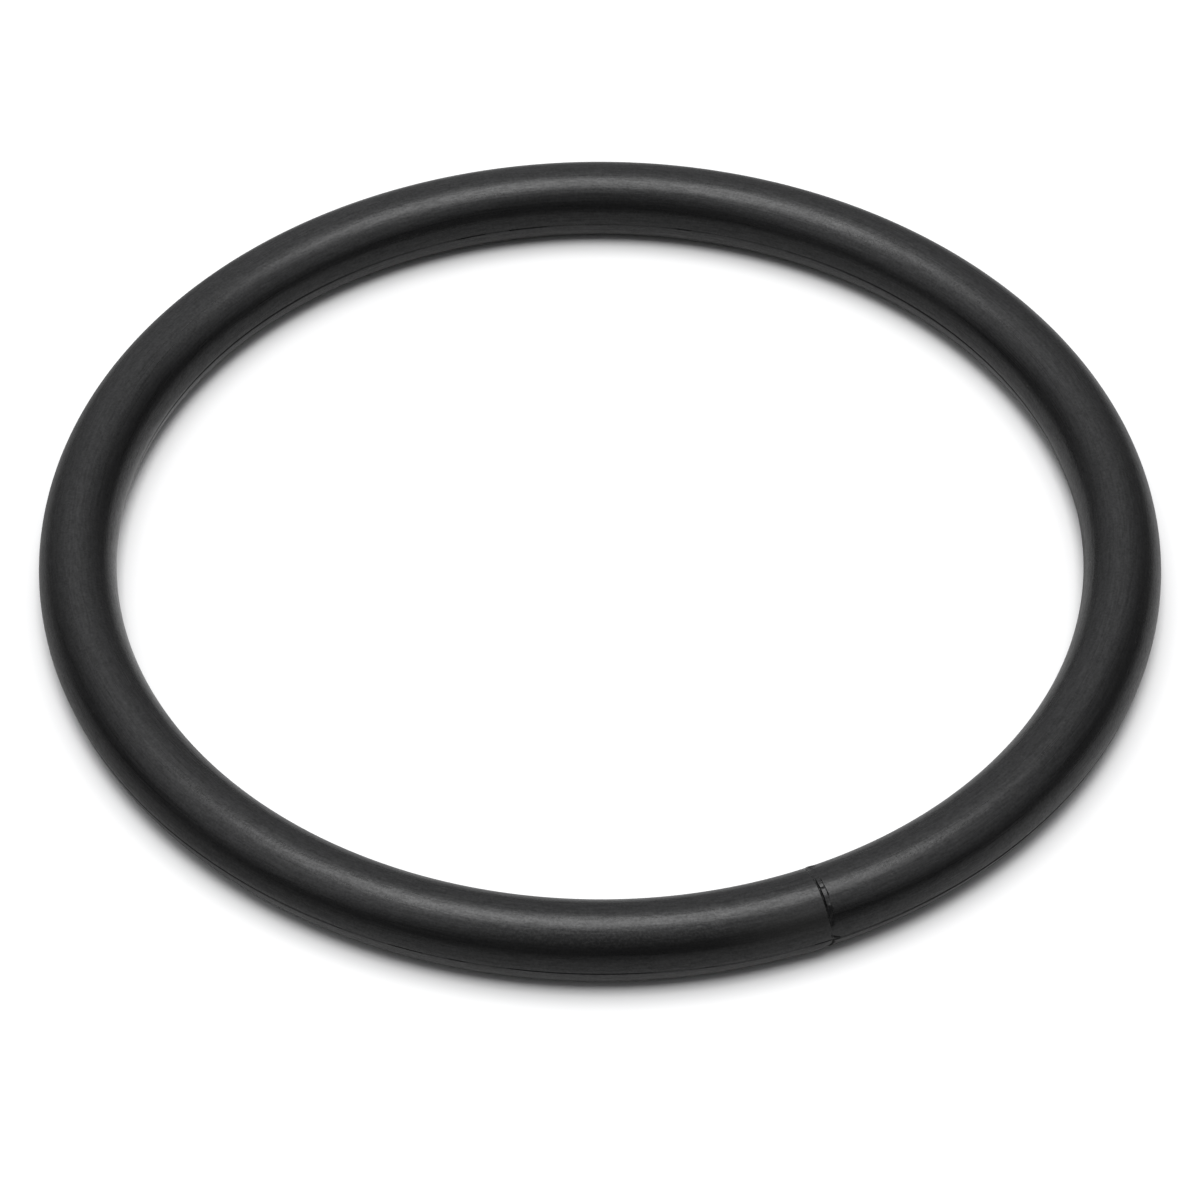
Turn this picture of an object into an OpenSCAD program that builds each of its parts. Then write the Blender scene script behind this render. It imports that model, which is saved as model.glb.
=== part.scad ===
// Rubber o-ring, moulded in one piece and lying flat.
// The ring's axis is +Z and the origin is the middle of the hole, level with the middle of the section.
// Angles round the section start at the outside of the ring and go up over the top to the inside.

/* [Ring] */
// Inside diameter of the relaxed ring
inner_diameter = 75; // [60:0.5:90]
// Thickness of the round section
section = 6; // [5:0.1:8]

/* [Mould parting] */
// How far the parting line lies below the middle of the section
parting_drop = 0.25; // [0.1:0.05:0.6]
// How far the upper mould half stands out over the lower one
parting_step = 0.06; // [0.03:0.01:0.2]

/* [Splice] */
// Place of the splice round the ring
splice_angle = -67.2; // [-180:0.1:180]
// Width of the crease between the two ends
crease_width = 0.16; // [0.1:0.01:0.3]
// Depth of the crease
crease_depth = 0.14; // [0.08:0.01:0.3]
// Width of the bead of squeezed rubber beside the crease
bead_width = 0.36; // [0.25:0.01:0.6]
// How far the bead stands out
bead_height = 0.05; // [0.03:0.01:0.12]
// Where the bead starts, above the outside of the ring
bead_start = 50; // [20:1:70]
// Where the bead ends, past the top and towards the hole
bead_end = 150; // [100:1:155]
// How far the lip at the bead's inner end stands out
lip_height = 0.1; // [0.06:0.01:0.2]
// Length of the lip, as an angle round the section
lip_span = 36; // [15:1:40]
// Depth of the line along the bead's far side
line_depth = 0.05; // [0.03:0.01:0.12]
// Place of the nick across the bead
nick_angle = 76; // [72:1:88]
// Width of the nick
nick_width = 0.12; // [0.06:0.01:0.3]
// Depth of the hollow below the bead, where rubber is missing
hollow_depth = 0.07; // [0.03:0.01:0.15]
// Length of the hollow, as an angle round the section
hollow_span = 25; // [10:1:40]

/* [Hidden] */

// Facets of a whole turn, for the ring, its section and the small rib on it
ring_fn = 240;
section_fn = 96;
rib_fn = 48;

section_radius = section / 2;
ring_radius = (inner_diameter + section) / 2;
lower_radius = section_radius - parting_step;

// How far a cutting profile reaches past the rubber
cut_past = 0.4;

// The bead starts inside the crease and runs on past it, on the side of rising angles round the ring
bead_edge = crease_width / 4;
bead_middle = bead_edge + bead_width / 2;
line_middle = bead_edge + bead_width;
line_width = crease_width / 2;

// The line stops short of the bead's lower end and fades out just over the top
line_start = bead_start + 2;
line_end = 92;

// The hollow's upper end lies just under the bead
hollow_end = bead_start - 2;

// The crease goes all the way round the section
// Its turn starts and ends clear of the section's own edges
crease_start = -100;

// Radius of a round that spans a chord and rises by a given height
function arc_radius(chord, rise) = (chord * chord / 4 + rise * rise) / (2 * rise);

// The section: a half round, a short straight land down to the parting line, and a slightly smaller round
module section_profile() {
    intersection() {
        circle(r = section_radius, $fn = section_fn);
        translate([-section, 0])
            square([2 * section, section]);
    }
    translate([-section_radius, -parting_drop])
        square([section, parting_drop]);
    translate([0, -parting_step])
        circle(r = lower_radius, $fn = section_fn);
}

// Spins a profile round the section at the splice, between two angles
// In the profile, x is the distance from the middle of the section and y runs along the ring
module round_section(from, to)
    rotate([0, 0, splice_angle])
        translate([ring_radius, 0, 0])
            rotate([-90, 0, 0])
                rotate([0, 0, -to])
                    rotate_extrude(angle = to - from, $fn = section_fn)
                        children();

// A raised rounded rib, and a rounded hollow, seen along their length
module rib_profile(width, height)
    let (rib = arc_radius(width, height))
        translate([section_radius + height - rib, bead_middle])
            circle(r = rib, $fn = rib_fn);

module hollow_profile(width, depth)
    let (round = arc_radius(width, depth))
        translate([section_radius - depth + round, bead_middle])
            circle(r = round, $fn = rib_fn);

// A sharp groove, cut to a depth in the surface
module groove_profile(middle, width, depth)
    let (flare = width / 2 * (depth + cut_past) / depth)
        polygon([
            [section_radius - depth, middle],
            [section_radius + cut_past, middle - flare],
            [section_radius + cut_past, middle + flare]
        ]);

module bead() {
    round_section(bead_start, bead_end)
        rib_profile(bead_width, bead_height);
    round_section(bead_end - lip_span, bead_end)
        rib_profile(bead_width, lip_height);
}

module nick()
    rotate([0, 0, splice_angle])
        translate([ring_radius, 0, 0])
            rotate([0, -nick_angle, 0])
                translate([section_radius, 0, -nick_width / 2])
                    cube([cut_past, line_middle, nick_width]);

module o_ring()
    color([0.11, 0.11, 0.12])
        difference() {
            union() {
                rotate_extrude($fn = ring_fn)
                    translate([ring_radius, 0])
                        section_profile();
                bead();
            }
            round_section(crease_start, crease_start + 360)
                groove_profile(0, crease_width, crease_depth);
            round_section(line_start, line_end)
                groove_profile(line_middle, line_width, line_depth);
            round_section(hollow_end - hollow_span, hollow_end)
                hollow_profile(bead_width, hollow_depth);
            nick();
        }

o_ring();
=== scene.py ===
# Rubber o-ring lying flat: a moulded ring with its parting line and its splice
import math

import bmesh
import bpy
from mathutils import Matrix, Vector, noise


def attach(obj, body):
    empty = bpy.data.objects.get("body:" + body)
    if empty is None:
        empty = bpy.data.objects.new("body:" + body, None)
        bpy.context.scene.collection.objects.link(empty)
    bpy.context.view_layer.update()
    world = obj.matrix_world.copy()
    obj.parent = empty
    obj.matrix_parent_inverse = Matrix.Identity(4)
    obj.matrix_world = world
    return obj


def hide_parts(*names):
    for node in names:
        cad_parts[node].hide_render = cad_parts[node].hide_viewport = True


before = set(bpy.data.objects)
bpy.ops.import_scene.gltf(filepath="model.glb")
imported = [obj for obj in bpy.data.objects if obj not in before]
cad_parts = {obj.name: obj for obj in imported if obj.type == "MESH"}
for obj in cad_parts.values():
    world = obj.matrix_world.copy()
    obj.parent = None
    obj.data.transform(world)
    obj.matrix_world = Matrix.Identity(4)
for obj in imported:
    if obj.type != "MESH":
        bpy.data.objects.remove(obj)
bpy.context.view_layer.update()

scene = bpy.context.scene
for name in ("Cube", "Camera", "Light"):
    if name in bpy.data.objects:
        bpy.data.objects.remove(bpy.data.objects[name])

# A place on the ring is "along", the way round from the splice in mm at the middle of the section,
# and "turn", the angle round the section: 0 is the outside, 90 the top and 180 the inside
ring = {
    "insideDiameter": 0.075,
    "section": 0.006,
    "profilePoints": 96,
    "upperLip": -0.00032,  # heights of the groove along the parting line, in metres
    "grooveFloor": -0.0003916,  # the circle has a point there already
    "lowerLip": -0.00048,
    "grooveDepth": 0.00016,
    "partingStep": 0.00006,  # how far the lower half of the mould stands back
    "snapWithin": 0.000001,
    "mergeWithin": 0.000002,
    "spliceAngle": -67.2,
    "spanBefore": 1.7,  # degrees of fine rings before the splice
    # Degrees and steps of each fine stretch, from just before the splice to well past it
    "spins": ((1.3, 9), (0.24, 6), (0.32, 14), (0.34, 10), (0.16, 8), (0.24, 6), (1.5, 12), (17.6, 88)),
    "longSteps": 560,
    "smoothUpTo": 32,  # degrees between two faces
}
sectionRadius = ring["section"] / 2
ringRadius = (ring["insideDiameter"] + ring["section"]) / 2
spliceAzimuth = math.radians(ring["spliceAngle"])
floorHeight = -sectionRadius
mm = 0.001
degreeLength = 0.0524  # mm round the section in one degree

# Camera, first because everything else is judged through it
camera = {
    "away": 0.30646,
    "above": 0.30847,
    "lookDown": 45.749,
    "roll": 0.11,
    "lens": 167.84,
    "sensor": 36,
}


def addCamera():
    bpy.ops.object.camera_add(location=(0, -camera["away"], camera["above"]))
    shot = bpy.context.object
    shot.name = "photoCamera"
    shot.rotation_euler = (math.radians(90 - camera["lookDown"]), 0, 0)
    shot.rotation_euler.rotate_axis("Z", math.radians(camera["roll"]))
    shot.data.lens = camera["lens"]
    shot.data.sensor_width = camera["sensor"]
    shot.data.clip_start = 0.01
    shot.data.clip_end = 20
    scene.camera = shot
    print("camera set")


def selectPoints(piece, wanted):
    # In edit mode, only the points whose place passes the test are left selected
    bpy.ops.mesh.select_all(action="DESELECT")
    mesh = bmesh.from_edit_mesh(piece.data)
    for point in mesh.verts:
        point.select = wanted(point.co)
    mesh.select_flush(True)
    bmesh.update_edit_mesh(piece.data)


def addProfile(azimuth):
    bpy.ops.object.select_all(action="DESELECT")
    centre = Vector((ringRadius * math.cos(azimuth), ringRadius * math.sin(azimuth), 0))
    bpy.ops.mesh.primitive_circle_add(
        vertices=ring["profilePoints"],
        radius=sectionRadius,
        location=centre,
        rotation=(math.pi / 2, 0, azimuth),
    )
    profile = bpy.context.object
    bpy.ops.object.transform_apply(location=True, rotation=True, scale=True)
    bpy.ops.object.mode_set(mode="EDIT")

    # Points for the parting line, then the lower half is drawn in towards its lowest point
    for cut in ("upperLip", "grooveFloor", "lowerLip"):
        bpy.ops.mesh.select_all(action="SELECT")
        bpy.ops.mesh.bisect(plane_co=(0, 0, ring[cut]), plane_no=(0, 0, 1), threshold=ring["snapWithin"])
    tiny = 0.000005
    selectPoints(profile, lambda co: co.z < ring["lowerLip"] + tiny)
    shrink = 1 - ring["partingStep"] / sectionRadius
    bpy.ops.transform.resize(value=(shrink,) * 3, center_override=(centre.x, centre.y, -sectionRadius))
    selectPoints(profile, lambda co: abs(co.z - ring["grooveFloor"]) < tiny)
    inward = 1 - ring["grooveDepth"] / sectionRadius
    bpy.ops.transform.resize(value=(inward, inward, 1), center_override=centre)
    bpy.ops.object.mode_set(mode="OBJECT")
    return profile


def refineSplice(piece):
    # Finer rows over the top of the splice, where the nick and the bead's ends are
    bpy.ops.mesh.select_all(action="DESELECT")
    mesh = bmesh.from_edit_mesh(piece.data)
    low, high = splice["fineTurns"]
    for edge in mesh.edges:
        along, turn = place((edge.verts[0].co + edge.verts[1].co) / 2)
        (startAlong, startTurn), (endAlong, endTurn) = [place(point.co) for point in edge.verts]
        roundSection = abs(startTurn - endTurn) > 1 and abs(startAlong - endAlong) < 0.005
        nearby = low < turn < high and abs(along - splice["middle"]) < splice["fineReach"]
        edge.select = roundSection and nearby
    bmesh.update_edit_mesh(piece.data)
    bpy.ops.mesh.subdivide(number_cuts=2)


def modelRing():
    # The long way round from the first profile, as one screw without rise
    firstAzimuth = math.radians(ring["spliceAngle"] - ring["spanBefore"])
    fineDegrees = sum(spin[0] for spin in ring["spins"])
    longWay = addProfile(firstAzimuth)
    screw = longWay.modifiers.new("longWay", "SCREW")
    screw.angle = math.radians(fineDegrees - 360)
    screw.steps = screw.render_steps = ring["longSteps"]
    screw.screw_offset = 0
    bpy.ops.object.modifier_apply(modifier="longWay")

    # The short way past the splice, spun in short steps
    piece = addProfile(firstAzimuth)
    bpy.ops.object.mode_set(mode="EDIT")
    bpy.ops.mesh.select_all(action="SELECT")
    for degrees, steps in ring["spins"]:
        bpy.ops.mesh.spin(steps=steps, angle=math.radians(degrees), center=(0, 0, 0), axis=(0, 0, -1))
    bpy.ops.object.mode_set(mode="OBJECT")

    longWay.select_set(True)
    piece.select_set(True)
    bpy.context.view_layer.objects.active = piece
    bpy.ops.object.join()
    piece.name = "moulded_ring"
    piece.data.name = "moulded_ring"
    bpy.ops.object.mode_set(mode="EDIT")
    bpy.ops.mesh.select_all(action="SELECT")
    bpy.ops.mesh.remove_doubles(threshold=ring["mergeWithin"])
    refineSplice(piece)
    bpy.ops.mesh.select_all(action="SELECT")
    bpy.ops.mesh.normals_make_consistent(inside=False)
    bpy.ops.object.mode_set(mode="OBJECT")
    print("ring made:", len(piece.data.polygons), "faces")
    return piece


def place(co):
    angle = math.atan2(co.y, co.x) - spliceAzimuth
    angle = (angle + math.pi) % (2 * math.pi) - math.pi
    turn = math.degrees(math.atan2(co.z, math.hypot(co.x, co.y) - ringRadius))
    return angle * ringRadius / mm, turn + 360 if turn < -90 else turn


def fade(value, start, end):
    # A smooth step from 0 at start to 1 at end, for rising and falling ranges
    share = min(1.0, max(0.0, (value - start) / (end - start)))
    return share * share * (3 - 2 * share)


def band(value, low, high, edge):
    return fade(value, low - edge, low + edge) * fade(value, high + edge, high - edge)


def ridge(value, middle, halfWidth):
    # 1 in the middle and 0 at both sides, with straight flanks
    return max(0.0, 1 - abs(value - middle) / halfWidth)


def dome(value, low, high):
    share = 2 * (value - low) / (high - low) - 1
    return max(0.0, 1 - share * share)


def ragged(along, turn, size, seed):
    # Smooth noise between about -1 and 1, with lumps of a size in mm
    return noise.noise(Vector((along / size, turn * degreeLength / size, seed)))


def addRelief(piece, name, height, weightAt, places, direction="NORMAL"):
    # Raises the surface by a height in mm, or sinks it where the height is below 0
    group = piece.vertex_groups.new(name=name)
    for index, along, turn in places:
        weight = min(1.0, weightAt(along, turn))
        if weight > 0.002:
            group.add([index], weight, "REPLACE")
    displace = piece.modifiers.new(name, "DISPLACE")
    displace.direction = direction
    displace.vertex_group = name
    displace.mid_level = 0
    displace.strength = height * mm
    bpy.ops.object.modifier_apply(modifier=name)
    piece.vertex_groups.remove(piece.vertex_groups[name])


# The splice: a crease between the two ends, and squeezed rubber beside it. Widths, heights and places
# along the ring are in mm, and pairs of turns say where a mark starts and ends round the section
splice = {
    "fineTurns": (-42, 160),
    "fineReach": 0.5,
    "middle": 0.3,
    "reach": 3.4,  # how far from the splice its marks go
    "slant": 0.22,  # how far the crease leans to the right below the middle of the outside
    "creaseHalf": 0.085,
    "creaseDepth": 0.14,
    "creaseStrong": (46, 92),
    "creasePatch": (23, 48),
    "creasePastTop": (95, 124),
    "beadFrom": 0.05,
    "beadTo": 0.40,
    "beadTurns": (51, 96),
    "beadHeight": 0.032,
    "smudgeAlong": (-0.04, 0.5),
    "smudgeTurns": (97, 126),
    "smudgeDepth": 0.05,
    "lipTurns": (126, 146),
    "lipHeight": 0.04,
    "hookAlong": (0.34, 0.85),
    "hookTurn": 127.5,
    "hookHalf": 2.4,  # degrees
    "hookDepth": 0.06,
    "lineAt": 0.43,
    "lineHalf": 0.045,
    "lineTurns": (59, 93),
    "lineDepth": 0.07,
    "nickAlong": (0.02, 0.44),
    "nickTurn": 76,
    "nickHalf": 1.6,  # degrees
    "nickDepth": 0.06,
    "strokeAt": 0.42,
    "strokeHalf": 0.06,
    "strokeTurns": (28, 43),
    "strokeDepth": 0.05,
    "hollowTurns": (21, 42),
    "hollowWidth": 0.46,
    "hollowDepth": 0.07,
    "knobAt": (0.28, 48.5),  # along and turn
    "knobRadius": 0.17,
    "knobHeight": 0.05,
    "jogAlong": (0.0, 0.72),
    "jogTurn": 1.5,
    "jogHalf": 2.6,  # degrees
    "jogDepth": 0.12,
    "lowerTurns": (-75, -14),
    "lowerCreaseDepth": 0.3,
    "lowerBulgeHeight": 0.08,
}


def creaseWay(turn):
    # Straight over the top, leaning to the right on the outside and underneath
    return splice["slant"] * (fade(turn, 22, -4) if turn < 90 else fade(turn, 215, 265))


def creaseWeight(along, turn):
    middle = creaseWay(turn) + 0.02 * ragged(along, turn, 0.5, 3)
    strong = band(turn, *splice["creaseStrong"], 3)
    patch = 0.75 * band(turn, *splice["creasePatch"], 5)
    faint = 0.14 + 0.1 * ragged(along, turn, 0.6, 8)
    if turn >= 94:
        faint = 0.04 + 0.26 * band(turn, *splice["creasePastTop"], 3)
    low = 0.6 * fade(turn, -5, -12)
    under = 0.6 * fade(turn, 165, 190)
    return ridge(along, middle, splice["creaseHalf"]) * max(strong, patch, faint, low, under)


def beadWeight(along, turn):
    swelling = 0.4 + 0.6 * fade(turn, 56, 65)
    across = band(along, splice["beadFrom"], splice["beadTo"], 0.035)
    return across * band(turn, *splice["beadTurns"], 6) * swelling


def smudgeWeight(along, turn):
    # Past the bead's end the squeezed rubber has pulled a shallow dent
    return dome(along, *splice["smudgeAlong"]) * band(turn, *splice["smudgeTurns"], 5)


def lipWeight(along, turn):
    return fade(along, 0.32, 0.4) * fade(along, 1.1, 0.6) * band(turn, *splice["lipTurns"], 7)


def hookWeight(along, turn):
    # The dark line that the lip overhangs
    return ridge(turn, splice["hookTurn"], splice["hookHalf"]) * band(along, *splice["hookAlong"], 0.06)


def lineWeight(along, turn):
    # The line along the bead's far side, broken in its upper part
    broken = max(fade(ragged(along, turn, 0.2, 15), -0.2, 0.08), fade(turn, 71, 75))
    middle = splice["lineAt"] + 0.02 * ragged(0, turn, 0.4, 5) - 0.004 * max(0, 52 - turn)
    return ridge(along, middle, splice["lineHalf"]) * band(turn, *splice["lineTurns"], 2) * broken


def nickWeight(along, turn):
    return ridge(turn, splice["nickTurn"], splice["nickHalf"]) * band(along, *splice["nickAlong"], 0.03)


def strokeWeight(along, turn):
    # A short stroke that runs down beside the hollow and meets the crease in a V
    start, end = splice["strokeTurns"]
    middle = splice["strokeAt"] - 0.022 * max(0, end - turn)
    return ridge(along, middle, splice["strokeHalf"]) * band(turn, start, end, 2)


def hollowWeight(along, turn):
    start, end = splice["hollowTurns"]
    width = splice["hollowWidth"] - 0.006 * max(0, end + 2 - turn)
    return dome(along, 0.0, width) * band(turn, start, end, 5)


def knobWeight(along, turn):
    knobAlong, knobTurn = splice["knobAt"]
    away = math.hypot(along - knobAlong, (turn - knobTurn) * degreeLength)
    return dome(away, -splice["knobRadius"], splice["knobRadius"])


def jogWeight(along, turn):
    # A short deep step where the parting line of one end meets that of the other
    middle = splice["jogTurn"] - 11 * along
    return ridge(turn, middle, splice["jogHalf"]) * band(along, *splice["jogAlong"], 0.05)


def lowerCreaseWeight(along, turn):
    turn = turn - 360 if turn > 200 else turn
    lean = fade(turn, -14, -44)
    middle = creaseWay(turn) + 0.07 - 0.34 * lean
    return ridge(along, middle, 0.13 + 0.12 * lean) * band(turn, *splice["lowerTurns"], 4)


def lowerBulgeWeight(along, turn):
    # The end left of the splice swells towards the crease underneath
    turn = turn - 360 if turn > 200 else turn
    start, end = splice["lowerTurns"]
    return fade(along, -3.2, -0.7) * fade(along, -0.12, -0.48) * band(turn, start, end - 2, 9)


spliceReliefs = (
    ("hollow", -splice["hollowDepth"], hollowWeight),
    ("bead", splice["beadHeight"], beadWeight),
    ("smudge", -splice["smudgeDepth"], smudgeWeight),
    ("lip", splice["lipHeight"], lipWeight),
    ("hook", -splice["hookDepth"], hookWeight),
    ("stroke", -splice["strokeDepth"], strokeWeight),
    ("knob", splice["knobHeight"], knobWeight),
    ("lowerBulge", splice["lowerBulgeHeight"], lowerBulgeWeight),
    ("lowerCrease", -splice["lowerCreaseDepth"], lowerCreaseWeight),
    ("line", -splice["lineDepth"], lineWeight),
    ("nick", -splice["nickDepth"], nickWeight),
    ("jog", -splice["jogDepth"], jogWeight),
    ("crease", -splice["creaseDepth"], creaseWeight),
)


def modelSplice(piece):
    bpy.context.view_layer.objects.active = piece
    places = [(point.index, *place(point.co)) for point in piece.data.vertices]
    nearSplice = [entry for entry in places if abs(entry[1]) < splice["reach"]]
    for name, height, weightAt in spliceReliefs:
        addRelief(piece, name, height, weightAt, nearSplice)
    print("splice modelled:", len(nearSplice), "points")


# The groove along the parting line: partly closed in places, open at both sides, and wandering a little
# up and down. Heights are in mm, and a span has its low end, its high end and how softly it ends
parting = {
    "reach": 30,  # degrees from the middle of the outside and of the inside
    "grooveTurn": 7.8,  # degrees below the middle
    "grooveHalf": 1.2,
    "closedHeight": 0.09,
    "patchClosed": 0.6,  # shares of that height in patches, left of the splice, in specks and inside
    "leftClosed": 0.5,
    "speckClosed": 0.1,
    "insideClosed": 0.3,
    "leftClosedSpan": (-6, -1.6, 0.4),
    "speckSpan": (0.5, 35, 0.5),
    "spliceSpan": (-1.4, 0.9, 0.2),  # where the splice's own marks take the groove's place
    "openDepth": 0.065,
    "openFrom": (8.2, 9.2),  # degrees below the middle where the opened part starts, and where it ends
    "openTo": (13, 26),
    "riseHeight": 0.15,
    "fallDepth": 0.05,
    "leftShare": 0.67,  # shares of the rise along the left, added in the middle of that, and inside the ring
    "middleShare": 0.33,
    "insideShare": 0.8,
    "riseTurns": (-16, 4, 8),
    "insideTurns": (176, 196, 8),
    "fallTurns": (-18, 4, 8),
    "leftSpan": (-62, -9, 5),
    "middleSpan": (-50, -20, 6),
    "rightStart": (0, 0.4),
    "rightEnd": (31, 37),
    "sideways": (0.3, 0.75),  # cosines of the angle to the left or right where a side starts and is whole
}


def sideWeight(along):
    return fade(abs(math.cos(along * mm / ringRadius + spliceAzimuth)), *parting["sideways"])


def rightWeight(along):
    end, start = parting["rightEnd"]
    return fade(along, *parting["rightStart"]) * fade(along, start, end)


def closedWeight(along, turn):
    outside = turn < 90
    grooveTurn = -parting["grooveTurn"] if outside else 180 + parting["grooveTurn"]
    patches = fade(ragged(along, turn, 3.1, 21), -0.25, 0.35)
    specks = fade(ragged(along, turn, 0.55, 33), -0.1, 0.3)
    leftOfSplice = band(along, *parting["leftClosedSpan"]) * outside
    rightOfSplice = band(along, *parting["speckSpan"]) * outside
    closed = parting["patchClosed"] * patches * (1 - rightOfSplice)
    closed += parting["leftClosed"] * leftOfSplice
    closed += parting["speckClosed"] * rightOfSplice * specks
    closed += parting["insideClosed"] * (not outside)
    awayFromSplice = 1 - band(along, *parting["spliceSpan"])
    near = ridge(turn, grooveTurn, parting["grooveHalf"])
    return near * min(1, closed) * awayFromSplice * (1 - 0.8 * sideWeight(along))


def openWeight(along, turn):
    below = -turn if turn < 90 else turn - 180
    right = rightWeight(along) * (turn < 90)
    end, start = parting["openTo"]
    return max(right, sideWeight(along)) * fade(below, *parting["openFrom"]) * fade(below, start, end)


def riseWeight(along, turn):
    if turn > 90:
        return parting["insideShare"] * band(turn, *parting["insideTurns"])
    left = parting["leftShare"] * band(along, *parting["leftSpan"])
    middle = parting["middleShare"] * band(along, *parting["middleSpan"])
    return (left + middle) * band(turn, *parting["riseTurns"])


def fallWeight(along, turn):
    return rightWeight(along) * band(turn, *parting["fallTurns"])


partingReliefs = (
    ("closedGroove", parting["closedHeight"], closedWeight, "NORMAL"),
    ("open", -parting["openDepth"], openWeight, "Z"),
    ("rise", parting["riseHeight"], riseWeight, "Z"),
    ("fall", -parting["fallDepth"], fallWeight, "Z"),
)


def modelParting(piece):
    places = [(point.index, *place(point.co)) for point in piece.data.vertices]
    reach = parting["reach"]
    nearParting = [entry for entry in places if abs(entry[2]) < reach or abs(entry[2] - 180) < reach]
    for name, height, weightAt, direction in partingReliefs:
        addRelief(piece, name, height, weightAt, nearParting, direction)
    print("parting line modelled:", len(nearParting), "points")


def finishRing(piece):
    bpy.ops.object.select_all(action="DESELECT")
    piece.select_set(True)
    bpy.context.view_layer.objects.active = piece
    bpy.ops.object.shade_smooth_by_angle(angle=math.radians(ring["smoothUpTo"]))
    piece.data.materials.clear()
    piece.data.materials.append(makeRubber())
    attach(piece, "root")
    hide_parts("o_ring")


def feed(tree, socket, value):
    if isinstance(value, bpy.types.NodeSocket):
        tree.links.new(value, socket)
    else:
        socket.default_value = value


def addNode(tree, kind, sockets=None, **values):
    made = tree.nodes.new(kind)
    for name, value in values.items():
        setattr(made, name, value)
    for name, value in (sockets or {}).items():
        feed(tree, made.inputs[name], value)
    return made


def calculate(tree, operation, *values):
    made = addNode(tree, "ShaderNodeMath", operation=operation)
    for socket, value in zip(made.inputs, values):
        feed(tree, socket, value)
    return made.outputs[0]


def mapValue(tree, value, fromLow, fromHigh, toLow, toHigh, smooth=True):
    sockets = {"Value": value, "From Min": fromLow, "From Max": fromHigh, "To Min": toLow, "To Max": toHigh}
    kind = "SMOOTHSTEP" if smooth else "LINEAR"
    return addNode(tree, "ShaderNodeMapRange", sockets, interpolation_type=kind).outputs["Result"]


def between(tree, value, start, full, ebb, end):
    # 0 up to start, 1 from full to ebb and 0 past end
    rising = mapValue(tree, value, start, full, 0, 1)
    return calculate(tree, "MULTIPLY", rising, mapValue(tree, value, ebb, end, 1, 0))


def within(tree, value, low, high, edge):
    # The same as band, for a material
    return between(tree, value, low - edge, low + edge, high - edge, high + edge)


def mixColours(tree, share, first, second):
    sockets = {"Factor": share, "A": first, "B": second}
    return addNode(tree, "ShaderNodeMix", sockets, data_type="RGBA").outputs["Result"]


def splitAxes(tree, vector):
    return addNode(tree, "ShaderNodeSeparateXYZ", {"Vector": vector}).outputs


def ringPlace(tree, spot):
    # Along and turn, here from -180 to 180, then metres outwards from the middle of the section,
    # and the height
    sockets = {"Vector": spot, "Rotation": (0, 0, -spliceAzimuth)}
    x, y, height = splitAxes(tree, addNode(tree, "ShaderNodeMapping", sockets).outputs[0])
    azimuth = calculate(tree, "ARCTAN2", y, x)
    square = calculate(tree, "ADD", calculate(tree, "MULTIPLY", x, x), calculate(tree, "MULTIPLY", y, y))
    out = calculate(tree, "SUBTRACT", calculate(tree, "SQRT", square), ringRadius)
    along = calculate(tree, "MULTIPLY", azimuth, ringRadius / mm)
    turn = calculate(tree, "MULTIPLY", calculate(tree, "ARCTAN2", height, out), 180 / math.pi)
    return along, turn, out, height


rubber = {
    "colour": (0.0060, 0.0060, 0.0062, 1),
    # The lower half's paler colour is painted light, for the light the floor throws up on it
    "lowerPaintedLightColour": (0.022, 0.022, 0.022, 1),
    "hazeColour": (0.019, 0.0188, 0.0184, 1),
    "dustColour": (0.024, 0.023, 0.022, 1),
    "ior": 1.41,
    "roughness": 0.31,
    "cloudRoughness": 0.03,  # how much each of these makes the skin rougher or smoother
    "streakRoughness": 0.05,
    "hazeRoughness": 0.06,
    "beadRoughness": -0.08,
    "grooveRoughness": 0.6,
    "film": 0.26,  # thin glossy film that the mould leaves in fine grains
    "filmContrast": 2.2,
    "filmStreaks": 0.15,  # shares of streaks, grain and drawn grains in the film
    "filmGrain": 0.5,
    "filmDrawn": 0.35,
    "bumpHeight": 0.000012,
    # Where a mark starts, is whole, starts to end and has ended
    "hazeAlong": (-9.5, -1.5, -0.03, 0.03),
    "hazeTurn": (2, 24, 44, 62),
    "scuffAlong": (-27, -21, -8, -3),
    "scuffTurn": (36, 46, 58, 66),
    "beadAlong": (0.05, 0.1, 0.37, 0.42),
    "beadTurn": (56, 64, 86, 92),
    # Heights in metres between which the groove starts, and between which the lower half's painted light
    # does
    "grooveStart": (-0.00024, -0.00028),
    "lowerStart": (-0.0005, -0.00054),
    # Metres that these heights follow the parting line up and down
    "leftRise": 0.0001,
    "middleRise": 0.00005,
    "insideRise": 0.00012,
    "rightDrop": 0.000115,
    "sideDrop": 0.000065,
    # Noise scales: slow along the ring and quick across it, with the detail, then plain ones
    "streakNoise": (90, 6500, 2),
    "drawnGrainNoise": (1000, 6000, 1),
    "grainScale": 5200,
    "cloudScale": 130,
    "dustScale": 1500,
}


def drawnNoise(tree, spot, out, slow, quick, detail):
    # Noise drawn out along the ring: slow along it and quick across it
    scaled = addNode(tree, "ShaderNodeMapping", {"Vector": spot, "Scale": (slow, slow, quick)})
    across = calculate(tree, "MULTIPLY", out, quick)
    sockets = {"Vector": scaled.outputs[0], "W": across, "Scale": 1, "Detail": detail}
    return addNode(tree, "ShaderNodeTexNoise", sockets, noise_dimensions="4D").outputs[0]


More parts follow.
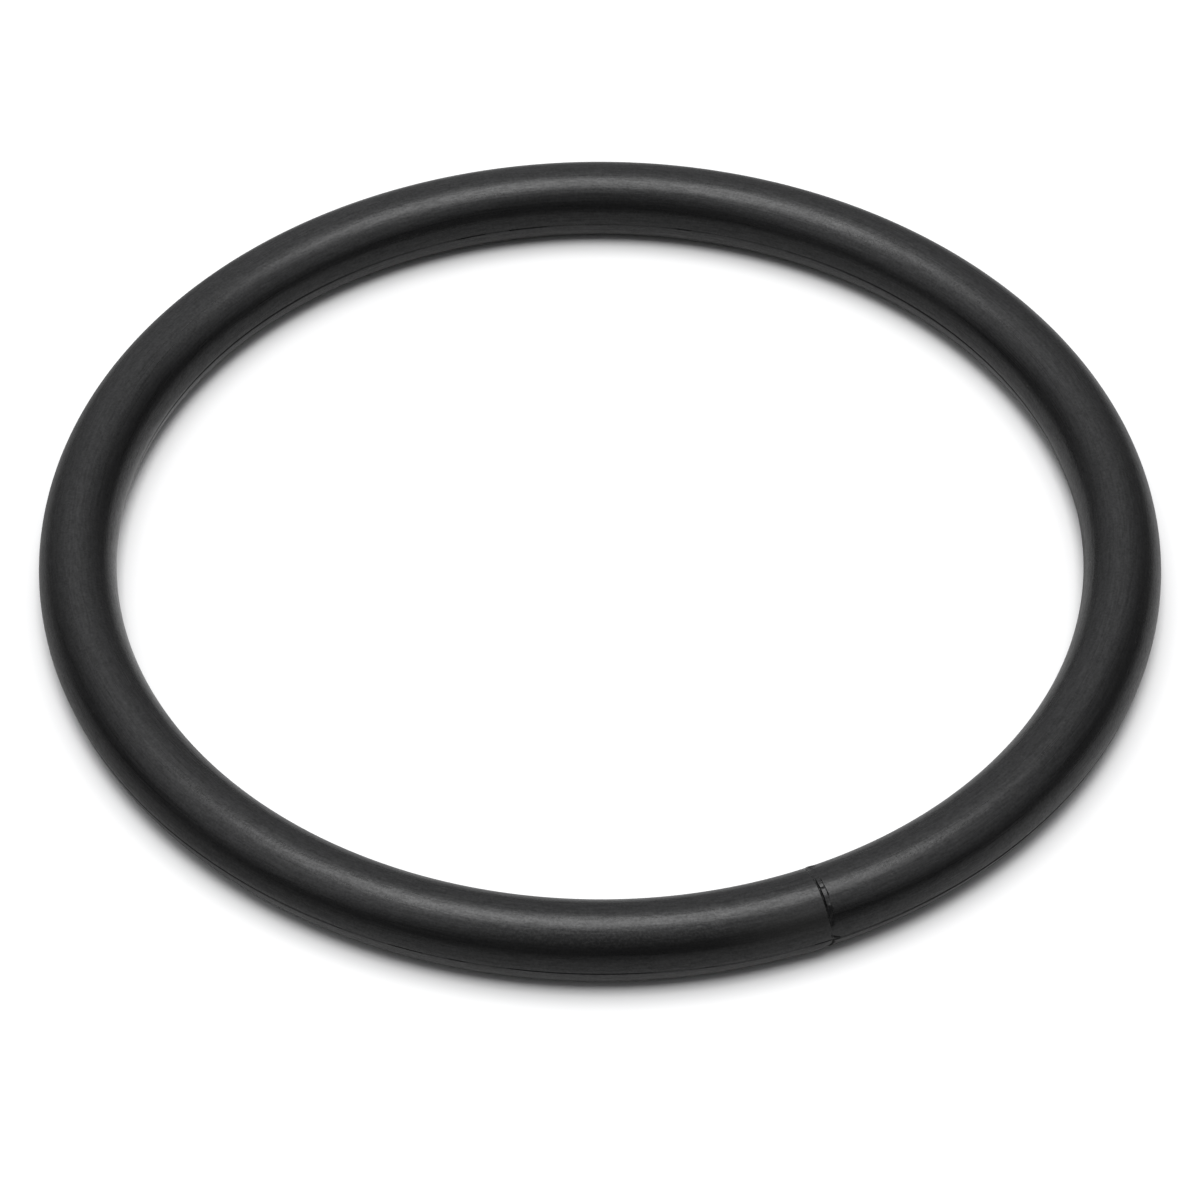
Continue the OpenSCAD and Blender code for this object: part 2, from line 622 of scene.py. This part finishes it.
def dustSpecks(tree, spot):
    cells = addNode(tree, "ShaderNodeTexVoronoi", {"Vector": spot, "Scale": rubber["dustScale"]})
    chance = addNode(tree, "ShaderNodeSeparateColor", {"Color": cells.outputs["Color"]}).outputs[0]
    dots = mapValue(tree, cells.outputs["Distance"], 0.16, 0.05, 0, 1)
    return calculate(tree, "MULTIPLY", dots, mapValue(tree, chance, 0.93, 0.97, 0, 1))


def hazeMask(tree, along, turn, grain):
    # The matter rubber left of the splice, sharply ended by it
    hazeAlong = between(tree, along, *rubber["hazeAlong"])
    haze = calculate(tree, "MULTIPLY", hazeAlong, between(tree, turn, *rubber["hazeTurn"]))

    # A scuffed stretch under the brightest part, with pale speckles
    scuffAlong = between(tree, along, *rubber["scuffAlong"])
    scuff = calculate(tree, "MULTIPLY", scuffAlong, between(tree, turn, *rubber["scuffTurn"]))
    scuff = calculate(tree, "MULTIPLY", scuff, mapValue(tree, grain, 0.46, 0.64, 0, 0.55))
    return calculate(tree, "MAXIMUM", haze, scuff)


def partingMasks(tree, along, out, height):
    # How far the parting line has wandered from its height, much as modelParting moves it
    outside = mapValue(tree, out, -0.001, 0.001, 0, 1)
    left = within(tree, along, *parting["leftSpan"])
    middle = within(tree, along, *parting["middleSpan"])
    right = between(tree, along, *parting["rightStart"], *parting["rightEnd"])
    wandered = calculate(tree, "MULTIPLY", left, rubber["leftRise"])
    wandered = calculate(tree, "MULTIPLY_ADD", middle, rubber["middleRise"], wandered)
    wandered = calculate(tree, "MULTIPLY_ADD", right, -rubber["rightDrop"], wandered)
    azimuth = calculate(tree, "MULTIPLY_ADD", along, mm / ringRadius, spliceAzimuth)
    sideways = calculate(tree, "ABSOLUTE", calculate(tree, "COSINE", azimuth))
    atSides = mapValue(tree, sideways, *parting["sideways"], 0, 1)
    insideRise = mapValue(tree, outside, 0, 1, rubber["insideRise"], 0)
    opened = calculate(tree, "MULTIPLY_ADD", atSides, -rubber["sideDrop"], insideRise)
    wandered = calculate(tree, "MULTIPLY_ADD", wandered, outside, opened)

    # The lower half is painted paler, as painted light for the light the floor throws up on it, and the open
    # groove is dull
    level = calculate(tree, "SUBTRACT", height, wandered)
    lowerHalf = mapValue(tree, level, *rubber["lowerStart"], 0, 1)
    belowStart = mapValue(tree, level, *rubber["grooveStart"], 0, 1)
    groove = calculate(tree, "MULTIPLY", belowStart, mapValue(tree, lowerHalf, 0, 1, 1, 0))
    return lowerHalf, calculate(tree, "MULTIPLY", groove, atSides)


def makeRubber():
    material = bpy.data.materials.new("blackRubber")
    material.use_nodes = True
    tree = material.node_tree
    shader = tree.nodes["Principled BSDF"]
    spot = addNode(tree, "ShaderNodeTexCoord").outputs["Object"]
    along, turn, out, height = ringPlace(tree, spot)
    streaks = drawnNoise(tree, spot, out, *rubber["streakNoise"])
    drawnGrains = drawnNoise(tree, spot, out, *rubber["drawnGrainNoise"])
    sockets = {"Vector": spot, "Scale": rubber["grainScale"], "Detail": 3, "Roughness": 0.6}
    grain = addNode(tree, "ShaderNodeTexNoise", sockets).outputs[0]
    sockets = {"Vector": spot, "Scale": rubber["cloudScale"], "Detail": 4}
    clouds = addNode(tree, "ShaderNodeTexNoise", sockets).outputs[0]
    haze = hazeMask(tree, along, turn, grain)
    lowerHalf, groove = partingMasks(tree, along, out, height)

    # Painted light: the lower half is painted paler, for the light thrown up from the floor
    colour = mixColours(tree, lowerHalf, rubber["colour"], rubber["lowerPaintedLightColour"])
    colour = mixColours(tree, haze, colour, rubber["hazeColour"])
    colour = mixColours(tree, dustSpecks(tree, spot), colour, rubber["dustColour"])
    tree.links.new(colour, shader.inputs["Base Color"])

    # The squeezed rubber of the bead is glossier
    beadAlong = between(tree, along, *rubber["beadAlong"])
    bead = calculate(tree, "MULTIPLY", beadAlong, between(tree, turn, *rubber["beadTurn"]))
    roughness = rubber["roughness"]
    for pattern, most in ((clouds, rubber["cloudRoughness"]), (streaks, rubber["streakRoughness"])):
        roughness = calculate(tree, "ADD", roughness, mapValue(tree, pattern, 0.3, 0.7, -most, most, False))
    roughness = calculate(tree, "MULTIPLY_ADD", haze, rubber["hazeRoughness"], roughness)
    roughness = calculate(tree, "MULTIPLY_ADD", bead, rubber["beadRoughness"], roughness)
    roughness = calculate(tree, "MULTIPLY_ADD", groove, rubber["grooveRoughness"], roughness)
    tree.links.new(roughness, shader.inputs["Roughness"])

    # The film is thicker and thinner from grain to grain
    mixed = calculate(tree, "MULTIPLY", streaks, rubber["filmStreaks"])
    mixed = calculate(tree, "MULTIPLY_ADD", grain, rubber["filmGrain"], mixed)
    mixed = calculate(tree, "MULTIPLY_ADD", drawnGrains, rubber["filmDrawn"], mixed)
    mixed = calculate(tree, "SUBTRACT", mixed, 0.5)
    film = calculate(tree, "MULTIPLY_ADD", mixed, rubber["filmContrast"], rubber["film"])
    film = calculate(tree, "MULTIPLY", film, mapValue(tree, groove, 0, 1, 1, 0))
    tree.links.new(film, shader.inputs["Coat Weight"])

    grainHeight = calculate(tree, "MULTIPLY_ADD", streaks, 0.7, grain)
    sockets = {"Strength": 1, "Distance": rubber["bumpHeight"], "Height": grainHeight}
    tree.links.new(addNode(tree, "ShaderNodeBump", sockets).outputs[0], shader.inputs["Normal"])
    shader.inputs["IOR"].default_value = rubber["ior"]
    shader.inputs["Coat Roughness"].default_value = rubber["roughness"]
    return material


def asSeen(tree, otherwise, seenValue):
    # One value for the camera, and another for reflections and light
    seen = addNode(tree, "ShaderNodeLightPath").outputs["Is Camera Ray"]
    return mapValue(tree, seen, 0, 1, otherwise, seenValue, False)


def addLamp(name, values):
    bpy.ops.object.light_add(type="AREA", location=values["lampPlace"])
    lamp = bpy.context.object
    lamp.name = name
    width, depth = values["lampSize"]
    lamp.data.shape = "RECTANGLE"
    lamp.data.size = width
    lamp.data.size_y = depth
    lamp.data.energy = values["lampBrightness"] * math.pi * width * depth
    lamp.visible_camera = False
    return lamp


floor = {
    "size": 6.0,
    "seenColour": 0.7,
    "reflectedColour": 0.32,
    "farColour": 0.17,  # darker in reflections away from the ring, between these distances from its middle
    "farFrom": 0.048,
    "farTo": 0.09,
    # In reflections, from which x to which x the floor gets brighter or darker, and by how much: painted
    # light inside left, painted shade inside right and outside left, seen in the ring's reflections
    "insideLeft": (-0.029, -0.034, 1, 1.5),
    "insideRight": (0.0345, 0.0365, 1, 0.4),
    "outsideLeft": (-0.02, -0.036, 1, 0.68),
    "underRing": (0.0395, 0.0415),  # distances where inside turns to outside
    "lampPlace": (0, -0.29, 0.85),
    "lampSize": (0.3, 0.40),
    "lampBrightness": 14.4,
}


def makePaleFloor():
    material = bpy.data.materials.new("paleFloor")
    material.use_nodes = True
    tree = material.node_tree
    tree.nodes.remove(tree.nodes["Principled BSDF"])
    spot = addNode(tree, "ShaderNodeTexCoord").outputs["Object"]
    away = addNode(tree, "ShaderNodeVectorMath", {"Vector": spot}, operation="LENGTH").outputs["Value"]
    x = splitAxes(tree, spot)["X"]
    # Painted light and painted shade on the floor beside the ring, seen only in reflections
    insideLeft = mapValue(tree, x, *floor["insideLeft"])
    inside = calculate(tree, "MULTIPLY", insideLeft, mapValue(tree, x, *floor["insideRight"]))
    outside = mapValue(tree, x, *floor["outsideLeft"])
    beside = mapValue(tree, away, *floor["underRing"], inside, outside)
    nearFar = (floor["farFrom"], floor["farTo"], floor["reflectedColour"], floor["farColour"])
    reflected = calculate(tree, "MULTIPLY", mapValue(tree, away, *nearFar), beside)
    level = asSeen(tree, reflected, floor["seenColour"])
    diffuse = addNode(tree, "ShaderNodeBsdfDiffuse", {"Color": level})
    tree.links.new(diffuse.outputs[0], tree.nodes["Material Output"].inputs["Surface"])
    return material


def addFloor():
    bpy.ops.object.select_all(action="DESELECT")
    bpy.ops.mesh.primitive_plane_add(size=floor["size"], location=(0, 0, floorHeight))
    plane = bpy.context.object
    plane.name = "floor"
    bpy.ops.object.transform_apply(location=True, rotation=True, scale=True)
    plane.data.materials.append(makePaleFloor())

    # A second softbox on the viewer's side that lights the floor alone
    lamp = addLamp("floorSoftbox", floor)
    lit = bpy.data.collections.new("litByFloorSoftbox")
    lit.objects.link(plane)
    lamp.light_linking.receiver_collection = lit
    print("floor laid")


studio = {
    "lampPlace": (0, 0.083, 0.7),
    "lampSize": (0.63, 0.362),
    "lampBrightness": 3.5,  # where 1 is a white sheet in this light
    "roomColour": (0.992, 0.996, 1.012, 1),
    "roomLean": 10,  # degrees that the bright middle of the room leans away from the viewer
    # Brightness of the room by the angle from its bright middle, in degrees
    "roomLevels": (
        (0, 1.2),
        (17, 1.0),
        (30, 0.78),
        (40, 0.66),
        (50, 0.56),
        (60, 0.46),
        (72, 0.36),
        (90, 0.22),
        (180, 0.2),
    ),
    "nearStart": 0.15,
    "nearLoss": 0.97,  # how fast the room darkens towards the viewer's side, and how far
    "nearLeast": 0.1,
    "sideLoss": 0.95,  # how much darker it is at both sides
    "leftGain": 0.6,  # and how much brighter at the left than at the right
    "panels": ((-0.64, -0.22, 0.736), (0.64, -0.22, 0.736)),  # directions of soft panels at both sides
    "panelSpread": (0.788, 0.99),  # cosines of the angles at a panel's edge and in its middle
    "panelBrightness": 0.56,
}


def dotProduct(tree, direction, fixed):
    made = addNode(tree, "ShaderNodeVectorMath", {"Vector": direction}, operation="DOT_PRODUCT")
    made.inputs[1].default_value = fixed
    return made.outputs["Value"]


def roomBrightness(tree, direction):
    lean = math.radians(studio["roomLean"])
    angle = calculate(tree, "ARCCOSINE", dotProduct(tree, direction, (0, math.sin(lean), math.cos(lean))))
    levels = addNode(tree, "ShaderNodeFloatCurve", {"Value": calculate(tree, "DIVIDE", angle, math.pi)})
    curve = levels.mapping.curves[0]
    top = max(value for degrees, value in studio["roomLevels"])
    while len(curve.points) < len(studio["roomLevels"]):
        curve.points.new(0.5, 0.5)
    for point, (degrees, value) in zip(curve.points, studio["roomLevels"]):
        point.location = (degrees / 180, value / top)
    levels.mapping.update()
    brightness = calculate(tree, "MULTIPLY", levels.outputs[0], top)

    x, y = splitAxes(tree, direction)[:2]
    nearer = calculate(tree, "MAXIMUM", calculate(tree, "SUBTRACT", -studio["nearStart"], y), 0.0)
    nearLevel = calculate(tree, "MULTIPLY_ADD", nearer, -studio["nearLoss"], 1.0)
    nearLevel = calculate(tree, "MAXIMUM", nearLevel, studio["nearLeast"])
    leftLevel = calculate(tree, "MULTIPLY_ADD", x, -studio["leftGain"], 1.0)
    sideLevel = calculate(tree, "MULTIPLY_ADD", calculate(tree, "MULTIPLY", x, x), -studio["sideLoss"], 1.0)
    for level in (nearLevel, leftLevel, sideLevel):
        brightness = calculate(tree, "MULTIPLY", brightness, level)
    for panel in studio["panels"]:
        facing = dotProduct(tree, direction, panel)
        glow = mapValue(tree, facing, *studio["panelSpread"], 0, studio["panelBrightness"])
        brightness = calculate(tree, "ADD", brightness, glow)
    return brightness


def addStudio():
    addLamp("overheadSoftbox", studio)
    world = bpy.data.worlds.new("studioRoom")
    scene.world = world
    world.use_nodes = True
    tree = world.node_tree
    direction = addNode(tree, "ShaderNodeTexCoord").outputs["Generated"]
    background = tree.nodes["Background"]
    background.inputs["Color"].default_value = studio["roomColour"]
    strength = asSeen(tree, roomBrightness(tree, direction), 1.0)
    tree.links.new(strength, background.inputs["Strength"])
    print("studio lit")


addCamera()
mouldedRing = modelRing()
modelSplice(mouldedRing)
modelParting(mouldedRing)
finishRing(mouldedRing)
addFloor()
addStudio()
scene.view_settings.view_transform = "Standard"
